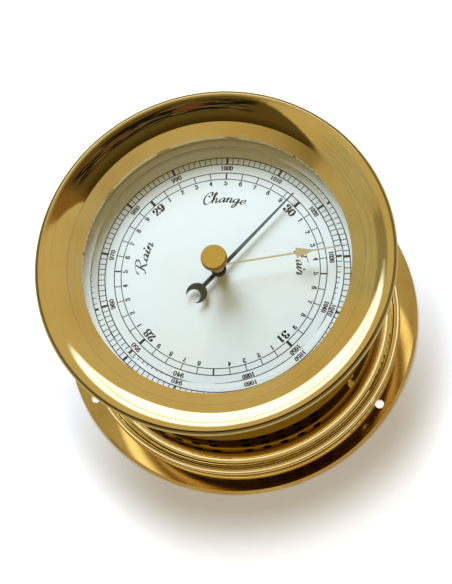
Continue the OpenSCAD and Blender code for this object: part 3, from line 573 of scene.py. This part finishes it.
def clear_glass():
    """Clear glass with a trace of dust. The light of the lamp and the room passes straight through it."""
    made, graph = new_material("clear_glass")
    dust = graph.noise(graph.place(), 220.0, 5.0)
    glass = graph.principled(
        Base_Color=GLASS_TINT,
        Roughness=graph.smooth(dust, 0.62, 0.9, 0.0, 0.006),
        IOR=1.5,
        Transmission_Weight=1.0,
    )
    clear = graph.node("ShaderNodeBsdfTransparent")
    graph.set(clear.inputs[0], GLASS_CLEAR)
    path = graph.node("ShaderNodeLightPath")
    through = graph.math("MAXIMUM", path.outputs["Is Shadow Ray"], path.outputs["Is Diffuse Ray"])
    blend = graph.node("ShaderNodeMixShader")
    graph.set(blend.inputs[0], through)
    graph.set(blend.inputs[1], glass)
    graph.set(blend.inputs[2], clear.outputs[0])
    graph.surface(blend.outputs[0])
    return made


def ink():
    """Black printing ink, greyer where it lies thin."""
    made, graph = new_material("ink")
    patches = graph.noise(graph.place(), 1800.0, 2.0)
    graph.finish(Base_Color=graph.mix(graph.smooth(patches, 0.4, 0.8), INK, INK_THIN), Roughness=0.45)
    return made


def floor_paper():
    """White paper that keeps the object's shadow. Where it is looked at it also glows, to come out white:
    outside the shadow, and below the flange, where the mounting holes show it."""
    made, graph = new_material("floor_paper")
    place = graph.place()
    radius = graph.radius(place)
    grain = graph.noise(place, 60.0, 4.0)
    paper = graph.node("ShaderNodeBsdfDiffuse")
    graph.set(paper.inputs["Color"], graph.mix(graph.smooth(grain, 0.3, 0.8), PAPER, PAPER_GRAIN))
    outside = graph.smooth(radius, *GLOW_OUTSIDE, GLOW_DIM, GLOW_FULL)
    below = graph.smooth(radius, *GLOW_BELOW, GLOW_FULL, 0.0)
    glow = graph.node("ShaderNodeEmission")
    graph.set(glow.inputs["Color"], FLOOR_GLOW)
    graph.set(glow.inputs["Strength"], graph.times(seen(graph), graph.math("MAXIMUM", outside, below)))
    both = graph.node("ShaderNodeAddShader")
    graph.set(both.inputs[0], paper.outputs[0])
    graph.set(both.inputs[1], glow.outputs[0])
    graph.surface(both.outputs[0])
    return made


# Studio


def direction(polar, bearing):
    """The unit vector towards a polar angle and a bearing."""
    outwards = math.sin(math.radians(polar))
    x, y = on_dial(outwards, bearing)
    return Vector((x, y, math.cos(math.radians(polar))))


def oval_light(graph, way, polar, half_across, half_along, edge):
    """1 inside an oval of sky on the lamp's bearing and 0 outside it, with a soft edge. In degrees."""
    centre = direction(polar, LAMP_BEARING)
    across = Vector((centre.y, -centre.x, 0.0)).normalized()
    ahead = graph.dot(way, centre)
    least = 0.001
    in_front = graph.math("MAXIMUM", ahead, least)
    parts = []
    for axis, half in ((across, half_across), (centre.cross(across), half_along)):
        reach = graph.times(in_front, math.tan(math.radians(half)))
        offset = graph.math("DIVIDE", graph.dot(way, axis), reach)
        parts.append(graph.math("POWER", graph.math("ABSOLUTE", offset), OVAL_POWER))
    size = graph.math("POWER", graph.plus(*parts), 1.0 / OVAL_POWER)
    softness = edge / min(half_across, half_along)
    inside = graph.fade(size, 1.0 - softness, 1.0 + softness)
    return graph.times(inside, graph.math("GREATER_THAN", ahead, least))


def dark_colours(graph, away, turn, marks, patches):
    """Browns that deepen outwards, amber at the left end, and a band of black, pale and red streaks."""
    streaks = graph.mix(graph.smooth(marks, 0.5, 0.6), STREAK_BLACK, STREAK_PALE)
    streaks = graph.mix(graph.smooth(patches, 0.55, 0.62, 0.0, 0.7), streaks, STREAK_RED)
    band = graph.times(graph.between(away, STREAK_AWAY), graph.between(turn, STREAK_TURN))
    tone = graph.mix(graph.smooth(away, 0.48, 0.72), DARK_BROWN, DARK_DEEP)
    tone = graph.mix(band, tone, streaks)
    return graph.mix(graph.smooth(turn, -1.2, -1.05, 0.75, 0.0), tone, DARK_AMBER)


def dark_outline(graph, away, turn):
    """1 inside the dark zone, between its near and far outline, its two ends and its outer rim."""
    past_near = graph.smooth(graph.minus(away, graph.smooth(turn, *DARK_NEAR)), -0.03, 0.03)
    before_far = graph.fade(graph.minus(away, graph.smooth(turn, *DARK_FAR)), -0.04, 0.04)
    return graph.times(past_near, before_far, graph.between(turn, DARK_TURN), graph.fade(away, *DARK_RIM))


def olive_colours(graph, away, turn, marks):
    """Streaked olive with a darker patch at its far end."""
    olive = graph.mix(graph.smooth(marks, 0.4, 0.6), OLIVE, OLIVE_PALE)
    patch = graph.times(graph.smooth(turn, 1.25, 1.35), graph.fade(away, 0.3, 0.36))
    return graph.mix(graph.times(patch, 0.7), olive, OLIVE_DARK)


def overhead(graph, x, y, sky):
    """The sky with what the far side of the bezel's roll mirrors: a dark zone and an olive one beside it."""
    across = graph.minus(x, CREST_X)
    ahead = graph.minus(y, CREST_Y)
    away = graph.length(across, ahead)
    turn = graph.math("ARCTAN2", graph.times(across, -1.0), graph.times(ahead, -1.0))
    marks = graph.noise(graph.join(graph.times(turn, 5.0), graph.times(away, 24.0), 0.0), 1.0, 4.0)
    patches = graph.noise(graph.join(graph.times(turn, 3.0), graph.times(away, 6.0), 4.0), 1.0, 2.0)
    dark = dark_colours(graph, away, turn, marks, patches)
    sky = graph.mix(dark_outline(graph, away, turn), sky, dark)
    beside = graph.times(graph.between(turn, OLIVE_TURN), graph.between(away, OLIVE_AWAY))
    return graph.mix(beside, sky, olive_colours(graph, away, turn, marks))


def studio():
    """The room that the metal mirrors: even walls, one softbox, the zones overhead, and low down a white
    backdrop, which doesn't light the object."""
    world = bpy.data.worlds.new("studio")
    world.use_nodes = True
    bpy.context.scene.world = world
    graph = Graph(world.node_tree)
    way = graph.node("ShaderNodeTexCoord").outputs["Generated"]
    x, y, z = graph.split(way)
    sky = graph.mix(graph.fade(x, *LEFT_X), ROOM_MIDDLE, ROOM_LEFT)
    sky = graph.mix(graph.smooth(x, *RIGHT_X), sky, ROOM_RIGHT)
    sky = overhead(graph, x, y, sky)
    box = oval_light(graph, way, *SOFTBOX_OVAL)
    bar = oval_light(graph, way, *BAR_OVAL)
    sky = graph.mix(box, sky, graph.mix(bar, SOFTBOX, SOFTBOX_BAR))
    sky = graph.mix(graph.fade(z, *HORIZON_Z), sky, ROOM_BELOW)
    sky = graph.mix(graph.times(graph.fade(z, *BACKDROP_Z), seen(graph)), sky, WHITE)
    back = graph.node("ShaderNodeBackground")
    graph.set(back.inputs["Color"], sky)
    out = graph.node("ShaderNodeOutputWorld")
    graph.set(out.inputs["Surface"], back.outputs[0])


def add_object(name, data):
    """Makes an object of some data and puts it in the scene."""
    made = bpy.data.objects.new(name, data)
    bpy.context.scene.collection.objects.link(made)
    return made


def aim(made, target, polar, bearing, distance, roll=0.0):
    """Puts a lamp or camera at a distance from its target, and turns it towards that."""
    way = direction(polar, bearing)
    made.location = Vector(target) + way * distance
    made.rotation_mode = "QUATERNION"
    made.rotation_quaternion = way.to_track_quat("Z", "Y") @ Quaternion((0.0, 0.0, 1.0), math.radians(roll))


def lamp():
    """The soft lamp that lights the object. Metal and glass show the room's softbox in its place."""
    data = bpy.data.lights.new("lamp", "AREA")
    data.shape = "DISK"
    data.size = LAMP_SIZE
    data.energy = LAMP_POWER
    data.color = LAMP_TINT
    made = add_object("lamp", data)
    aim(made, (0.0, 0.0, 0.0), LAMP_POLAR, LAMP_BEARING, LAMP_DISTANCE)
    made.visible_glossy = False
    made.visible_transmission = False


def camera():
    """The photograph's camera, which looks down on the dial from its lower right."""
    data = bpy.data.cameras.new("camera")
    data.lens = CAMERA_LENS
    data.sensor_width = CAMERA_SENSOR
    made = add_object("camera", data)
    aim(made, CAMERA_TARGET, CAMERA_POLAR, CAMERA_BEARING, CAMERA_DISTANCE, CAMERA_ROLL)
    bpy.context.scene.camera = made


def floor():
    """A wide square of white paper under the part."""
    half = FLOOR_HALF
    corners = [(-half, -half, 0), (half, -half, 0), (half, half, 0), (-half, half, 0)]
    data = bpy.data.meshes.new("floor")
    data.from_pydata(corners, [], [(0, 1, 2, 3)])
    data.materials.append(floor_paper())
    made = add_object("floor", data)


# Print on the dial


class Print:
    """Flat printed shapes that lie on the dial at one height."""

    def __init__(self, height):
        self.height = height
        self.points = []
        self.faces = []

    def add(self, points, faces):
        first = len(self.points)
        self.points += [(x * MM, y * MM, self.height) for x, y in points]
        self.faces += [tuple(first + i for i in face) for face in faces]

    def make(self, name, material):
        data = bpy.data.meshes.new(name)
        data.from_pydata(self.points, [], self.faces)
        data.materials.append(material)
        made = add_object(name, data)
        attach(made, "case")


def on_dial(radius, bearing):
    """The x and y of a point at a radius and a bearing."""
    angle = math.radians(bearing)
    return radius * math.sin(angle), radius * math.cos(angle)


def circle(page, radius, width):
    """A printed line right round the dial."""
    points = []
    for i in range(CIRCLE_STEPS):
        bearing = i * 360 / CIRCLE_STEPS
        points += [on_dial(radius + width / 2, bearing), on_dial(radius - width / 2, bearing)]
    count = len(points)
    page.add(points, [(i, (i + 2) % count, (i + 3) % count, i + 1) for i in range(0, count, 2)])


def tick(page, bearing, inner, outer, width):
    """A printed division between two radii."""
    sine, cosine = on_dial(1.0, bearing)
    points = []
    for radius, side in ((inner, -width / 2), (inner, width / 2), (outer, width / 2), (outer, -width / 2)):
        points.append((radius * sine + side * cosine, radius * cosine - side * sine))
    page.add(points, [(0, 1, 2, 3)])


def curve_point(t, a, b, c, d):
    """One coordinate of the smooth curve from b to c, a share t along it. a comes before, and d after."""
    square = 2 * a - 5 * b + 4 * c - d
    cube = 3 * b - a - 3 * c + d
    return 0.5 * (2 * b + (c - a) * t + square * t * t + cube * t ** 3)


def curve_through(points, steps):
    """Points along a smooth curve through the given points, or along a line where there are two."""
    if len(points) == 2:
        (x0, y0), (x1, y1) = points
        return [(x0 + (x1 - x0) * i / steps, y0 + (y1 - y0) * i / steps) for i in range(steps + 1)]
    ends = [points[0]] + list(points) + [points[-1]]
    out = []
    for four in zip(ends, ends[1:], ends[2:], ends[3:]):
        for i in range(steps):
            out.append(tuple(curve_point(i / steps, *values) for values in zip(*four)))
    out.append(points[-1])
    return out


def oval(middle_x, middle_y, half_width, half_height):
    """Points round an oval, the last on the first."""
    turns = [on_dial(1.0, bearing) for bearing in range(0, 360 + OVAL_STEP, OVAL_STEP)]
    return [(middle_x + half_width * x, middle_y + half_height * y) for x, y in turns]


def stroke(page, line, place, thin, thick, nib):
    """A line drawn with a flat pen, thick across the nib's angle and thin along it.
    place maps the line's points to the dial."""
    spots = [place(point) for point in line]
    last = len(line) - 1
    points = []
    for i, (x, y) in enumerate(spots):
        before = max(i - 1, 0)
        after = min(i + 1, last)
        heading = math.atan2(line[after][1] - line[before][1], line[after][0] - line[before][0])
        across = abs(math.sin(heading - math.radians(nib)))
        half = (thin + (thick - thin) * across ** NIB_POWER) / 2
        step_x = spots[after][0] - spots[before][0]
        step_y = spots[after][1] - spots[before][1]
        scale = half / (math.hypot(step_x, step_y) or 1.0)
        points.append((x - step_y * scale, y + step_x * scale))
        points.append((x + step_y * scale, y - step_x * scale))
    page.add(points, [(2 * i, 2 * i + 1, 2 * i + 3, 2 * i + 2) for i in range(last)])


def blob(page, centre, radius):
    """The round end of a stroke."""
    points = []
    for i in range(BLOB_STEPS):
        turn = 2 * math.pi * i / BLOB_STEPS
        points.append((centre[0] + radius * math.cos(turn), centre[1] + radius * math.sin(turn)))
    page.add(points, [tuple(range(BLOB_STEPS))])


# Each digit in a box DIGIT_WIDTH wide and 1 high: its lines, then the middles of its round ends
SIX = [(0.46, 0.84), (0.34, 0.97), (0.18, 0.84), (0.09, 0.5), (0.1, 0.2), (0.22, 0.04), (0.36, 0.03),
       (0.5, 0.16), (0.51, 0.38), (0.4, 0.54), (0.24, 0.54), (0.11, 0.38)]
DIGITS = {
    "0": ([oval(0.3, 0.5, 0.22, 0.46)], []),
    "1": ([[(0.3, 1.0), (0.3, 0.0)], [(0.12, 0.84), (0.3, 0.97)], [(0.12, 0.02), (0.48, 0.02)]], []),
    "2": ([[(0.1, 0.76), (0.14, 0.92), (0.3, 0.98), (0.46, 0.9), (0.48, 0.72), (0.38, 0.5), (0.2, 0.25),
            (0.08, 0.06)],
           [(0.08, 0.06), (0.5, 0.06)], [(0.5, 0.06), (0.54, 0.22)]], [(0.13, 0.76)]),
    "3": ([[(0.1, 0.8), (0.2, 0.95), (0.34, 0.97), (0.46, 0.85), (0.44, 0.66), (0.28, 0.54)],
           [(0.28, 0.54), (0.46, 0.46), (0.52, 0.27), (0.42, 0.07), (0.24, 0.02), (0.1, 0.1), (0.08, 0.2)]],
          [(0.12, 0.78), (0.11, 0.2)]),
    "4": ([[(0.38, 1.0), (0.38, 0.0)], [(0.38, 1.0), (0.04, 0.3)], [(0.04, 0.3), (0.56, 0.3)],
           [(0.24, 0.02), (0.52, 0.02)]], []),
    "5": ([[(0.14, 0.93), (0.46, 0.96)], [(0.14, 0.96), (0.12, 0.54)],
           [(0.12, 0.54), (0.28, 0.62), (0.46, 0.54), (0.52, 0.3), (0.42, 0.06), (0.24, 0.02), (0.1, 0.1),
            (0.08, 0.2)]], [(0.11, 0.2)]),
    "6": ([SIX], [(0.43, 0.82)]),
    "7": ([[(0.08, 0.95), (0.52, 0.95)], [(0.52, 0.95), (0.4, 0.65), (0.28, 0.35), (0.24, 0.02)],
           [(0.08, 0.95), (0.06, 0.78)]], []),
    "8": ([oval(0.3, 0.75, 0.17, 0.22), oval(0.3, 0.27, 0.22, 0.26)], []),
    "9": ([[(DIGIT_WIDTH - x, 1.0 - y) for x, y in SIX]], [(0.17, 0.18)]),
}

# Each letter on a baseline at 0, small letters 1 high: its step along the line, its lines, its dots
BOWL = [(0.75, 0.88), (0.45, 1.0), (0.16, 0.7), (0.1, 0.3), (0.3, 0.02), (0.55, 0.25), (0.76, 0.85)]
LETTERS = {
    "C": (1.35, [[(0.62, 1.75), (0.85, 1.5), (1.12, 1.8), (1.12, 2.25), (0.8, 2.42), (0.35, 2.0),
                  (0.06, 1.2), (0.1, 0.4), (0.42, 0.02), (0.85, 0.12), (1.25, 0.6)]], []),
    "R": (1.5, [[(0.42, 2.2), (0.32, 1.2), (0.2, 0.3), (-0.05, 0.0), (-0.2, 0.2)],
                [(-0.5, 1.35), (-0.45, 1.8), (-0.05, 2.2), (0.75, 2.4), (1.12, 2.0), (0.9, 1.4),
                 (0.4, 1.15)],
                [(0.45, 1.15), (0.75, 0.6), (0.98, 0.1), (1.25, 0.03), (1.55, 0.4)]], []),
    "F": (1.15, [[(0.6, 2.2), (0.45, 1.2), (0.3, 0.3), (0.0, 0.0), (-0.25, 0.2)],
                 [(-0.05, 1.8), (0.12, 2.2), (0.6, 2.3), (1.35, 2.4)], [(0.15, 1.2), (0.95, 1.28)]], []),
    "h": (1.0, [[(-0.1, 0.4), (0.2, 1.3), (0.36, 2.05), (0.26, 2.25), (0.14, 1.9), (0.06, 1.0),
                 (0.02, 0.0)],
                [(0.05, 0.45), (0.3, 0.95), (0.52, 0.98), (0.6, 0.7), (0.56, 0.15), (0.7, 0.0),
                 (0.98, 0.4)]], []),
    "a": (1.1, [BOWL, [(0.78, 1.0), (0.72, 0.4), (0.8, 0.03), (1.08, 0.4)]], []),
    "n": (1.0, [[(-0.05, 0.6), (0.12, 1.0), (0.18, 0.85), (0.1, 0.0)],
                [(0.12, 0.45), (0.36, 0.95), (0.58, 0.98), (0.66, 0.7), (0.6, 0.15), (0.72, 0.0),
                 (0.98, 0.4)]], []),
    "g": (1.1, [BOWL, [(0.78, 1.0), (0.73, 0.2), (0.68, -0.6), (0.5, -1.0), (0.25, -0.9), (0.25, -0.6),
                       (0.6, -0.15), (1.08, 0.4)]], []),
    "e": (0.85, [[(0.05, 0.3), (0.4, 0.45), (0.62, 0.75), (0.5, 1.0), (0.25, 0.9), (0.1, 0.5), (0.2, 0.06),
                  (0.45, 0.0), (0.85, 0.4)]], []),
    "i": (0.5, [[(0.0, 0.4), (0.14, 1.0), (0.08, 0.3), (0.18, 0.0), (0.48, 0.4)]], [(0.2, 1.5)]),
    "r": (0.75, [[(-0.02, 0.4), (0.15, 1.1), (0.24, 0.85), (0.5, 0.95), (0.52, 0.7), (0.44, 0.2),
                  (0.54, 0.0), (0.78, 0.4)]], []),
}


def arc_place(radius, start, across, up, slant=0.0):
    """Maps a sign's points to the dial, its foot on a circle and its top outward. start is the way along
    the circle from the dial's top."""

    def place(point):
        along = start + across * point[0] + slant * up * point[1]
        return on_dial(radius + up * point[1], math.degrees(along / radius))

    return place


def smooth_digit(line):
    """A digit's line with the points between. Ovals have theirs already."""
    if len(line) > 360 // OVAL_STEP:
        return line
    return curve_through(line, STRAIGHT_STEPS if len(line) == 2 else DIGIT_STEPS)


def digits(page, text, bearing, radius, width, height, thin, thick):
    """A number whose middle stands at a bearing, its foot at a radius."""
    step = width / len(text)
    start = math.radians(bearing) * radius - width / 2
    for i, sign in enumerate(text):
        lines, ends = DIGITS[sign]
        place = arc_place(radius, start + i * step, step / DIGIT_WIDTH * DIGIT_FILL, height)
        for line in lines:
            stroke(page, smooth_digit(line), place, thin, thick, DIGIT_NIB)
        for end in ends:
            blob(page, place(end), thick * DIGIT_END)


def script(page, text, bearing, radius, width, height, thin, thick):
    """A word in a slanted pen hand whose middle stands at a bearing, its baseline at a radius."""
    across = width / sum(LETTERS[sign][0] for sign in text)
    start = math.radians(bearing) * radius - width / 2
    for sign in text:
        step, lines, dots = LETTERS[sign]
        place = arc_place(radius, start, across, height, SCRIPT_SLANT)
        for line in lines:
            stroke(page, curve_through(line, SCRIPT_STEPS), place, thin, thick, SCRIPT_NIB)
        for dot in dots:
            blob(page, place(dot), thick * SCRIPT_DOT)
        start += across * step


def inch_scale(height, material):
    """Inches of mercury: two circles, a division for each tenth, and numbers inside them. The first
    division, where the scale's ends meet, has no number."""
    page = Print(height)
    circle(page, INCH_OUTER_R, INCH_OUTER_LINE)
    circle(page, INCH_INNER_R, INCH_INNER_LINE)
    for i in range(INCH_TENTHS):
        inch, tenth = divmod(INCH_FIRST + i, 10)
        bearing = INCH_START + i * INCH_STEP
        width = {0: INCH_WHOLE_TICK, 5: INCH_HALF_TICK}.get(tenth, INCH_TENTH_TICK)
        tick(page, bearing, INCH_INNER_R, INCH_OUTER_R, width)
        if tenth == 0:
            digits(page, str(inch), bearing, INCH_NUMBER_R, INCH_NUMBER_W, **LARGE_TYPE)
        elif i > 0:
            digits(page, str(tenth), bearing, INCH_TENTH_R, INCH_TENTH_W, **SMALL_TYPE)
    page.make("inch_scale", material)


def hpa_scale(height, material):
    """Hectopascals: two circles, a division for each, and a number for each ten."""
    page = Print(height)
    circle(page, HPA_OUTER_R, HPA_LINE)
    circle(page, HPA_INNER_R, HPA_LINE)
    for value in range(HPA_FIRST, HPA_LAST + 1):
        bearing = (value - HPA_TOP) * HPA_STEP
        is_ten = value % 10 == 0
        tick(page, bearing, HPA_INNER_R, HPA_OUTER_R, HPA_TEN_TICK if is_ten else HPA_TICK)
        if is_ten:
            text = str(value)
            width = HPA_SHORT_W if len(text) == 3 else HPA_LONG_W
            digits(page, text, bearing, HPA_NUMBER_R, width, **SMALL_TYPE)
    page.make("hpa_scale", material)


def words(height, material):
    """The three words of the weather."""
    page = Print(height)
    for text, bearing, radius, width in WORDS:
        script(page, text, bearing, radius, width, **SCRIPT_TYPE)
    page.make("weather_words", material)


def print_dial(dial):
    """The three printed pieces, a hair above the dial's face."""
    top = max((dial.matrix_world @ corner.co).z for corner in dial.data.vertices)
    height = top + INK_LIFT * MM
    material = ink()
    inch_scale(height, material)
    hpa_scale(height, material)
    words(height, material)


# Finishes of the CAD nodes


def finishes():
    """One material for each slot of the record, and one for each node that differs from its slot."""
    by_slot = {
        "polished_brass": mirror_brass("polished_brass_look", BRASS, BRASS_DEEP),
        "turned_brass": turned_brass("turned_brass_look", BRASS_TURNED, 0.38),
        "lacquered_brass": gilt(),
        "movement_brass": worked_metal("movement_brass_look", BRASS_MOVEMENT, 0.3),
        "steel": worked_metal("steel_look", STEEL, 0.28),
        "capsule_bronze": worked_metal("capsule_bronze_look", BRONZE, 0.35),
        "white_dial": dial_enamel(),
        "seal_rubber": rubber(),
        "glass": clear_glass(),
        "black_paint": dark_paint("black_paint_look", BLACK_PAINT, 0.35),
    }
    by_node = {
        "bezel": bezel_brass(),
        # Painted shade: the case wall gets a far darker brass, a dimmed edge-on reflection and no coat.
        "case_shell": mirror_brass("case_brass_painted_shade", CASE_PAINTED_SHADE, CASE_PAINTED_SHADE_DEEP, GRAZED_PAINTED_SHADE, 0.0),
        "base_plate": mirror_brass("flange_brass", BRASS_FLANGE, BRASS_FLANGE_DEEP),
        "reflector_ring": turned_brass("reflector_brass", BRASS_REFLECTOR, 0.25),
        "pressure_hand": hand_paint(),
        "set_knob": knob_brass(),
    }
    return by_slot, by_node


def dress(nodes):
    """Gives each CAD node its material."""
    by_slot, by_node = finishes()
    for name, node in nodes.items():
        slot = node.data.materials[0].name.split(".")[0]
        node.data.materials[0] = by_node.get(name, by_slot[slot])


def main():
    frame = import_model()
    dress(frame["nodes"])
    print_dial(frame["nodes"]["dial"])
    studio()
    lamp()
    floor()
    camera()
    bpy.context.scene.view_settings.view_transform = "Standard"


main()
